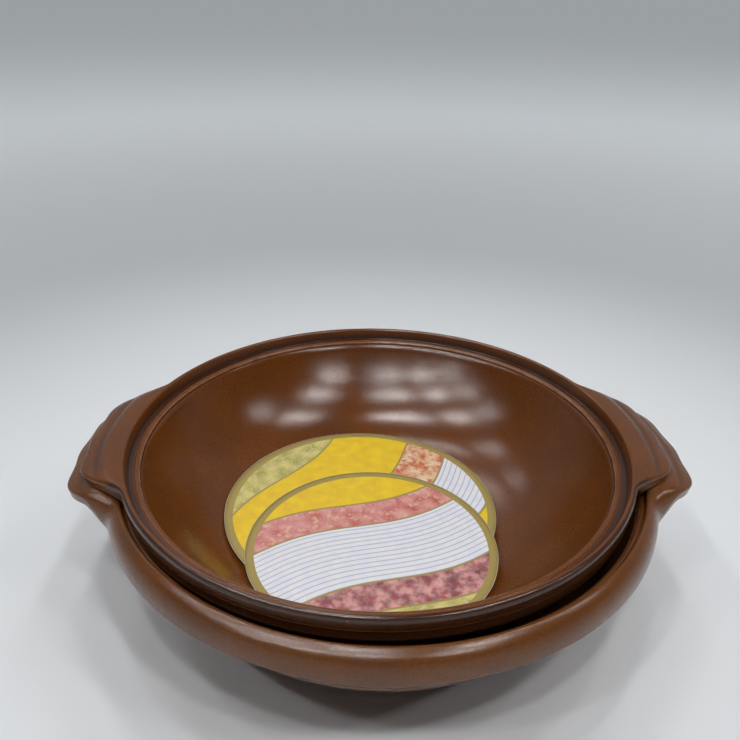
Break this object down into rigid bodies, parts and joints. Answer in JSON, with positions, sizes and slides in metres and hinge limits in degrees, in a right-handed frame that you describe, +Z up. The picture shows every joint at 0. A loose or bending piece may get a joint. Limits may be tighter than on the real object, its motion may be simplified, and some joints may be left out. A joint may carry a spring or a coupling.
{
  "type": "ceramic hot pot",
  "caption": "Wide shallow glazed stoneware hot pot with lug handles and a stepped lid gallery, holding a smaller pot of the same design with loose round paper cards in its dish.",
  "frame": {"origin": "on the table under the middle of the large pot", "axes": "+X through the right-hand handles, +Y away from the viewer, +Z up"},
  "size_m": [0.3172, 0.2818, 0.085],
  "materials": {
    "large_glaze": "satin brown glaze with fine speckle, lighter where it breaks over sharp edges",
    "small_glaze": "satin dark brown glaze with fine speckle, lighter where it breaks over sharp edges",
    "bare_clay": "matte unglazed cream stoneware",
    "back_card_print": "coated card with a plain colour print",
    "front_card_print": "coated card with a plain colour print"
  },
  "bodies": {
    "large_pot": {"large_bowl": "large_glaze", "large_handle_left": "large_glaze", "large_handle_right": "large_glaze", "large_foot_ring": "bare_clay"},
    "small_pot": {"small_bowl": "small_glaze", "small_handle_left": "small_glaze", "small_handle_right": "small_glaze", "small_foot_ring": "bare_clay"},
    "back_card": {"back_card": "back_card_print"},
    "front_card": {"front_card": "front_card_print"}
  },
  "joints": [
    {"name": "lift_small_pot", "type": "slide", "parent": "large_pot", "child": "small_pot", "axis": [0, 0, 1], "range_m": [0, 0.08]},
    {"name": "lift_back_card", "type": "slide", "parent": "small_pot", "child": "back_card", "axis": [0, 0, 1], "range_m": [0, 0.08]},
    {"name": "lift_front_card", "type": "slide", "parent": "back_card", "child": "front_card", "axis": [0, 0, 1], "range_m": [0, 0.08]}
  ]
}
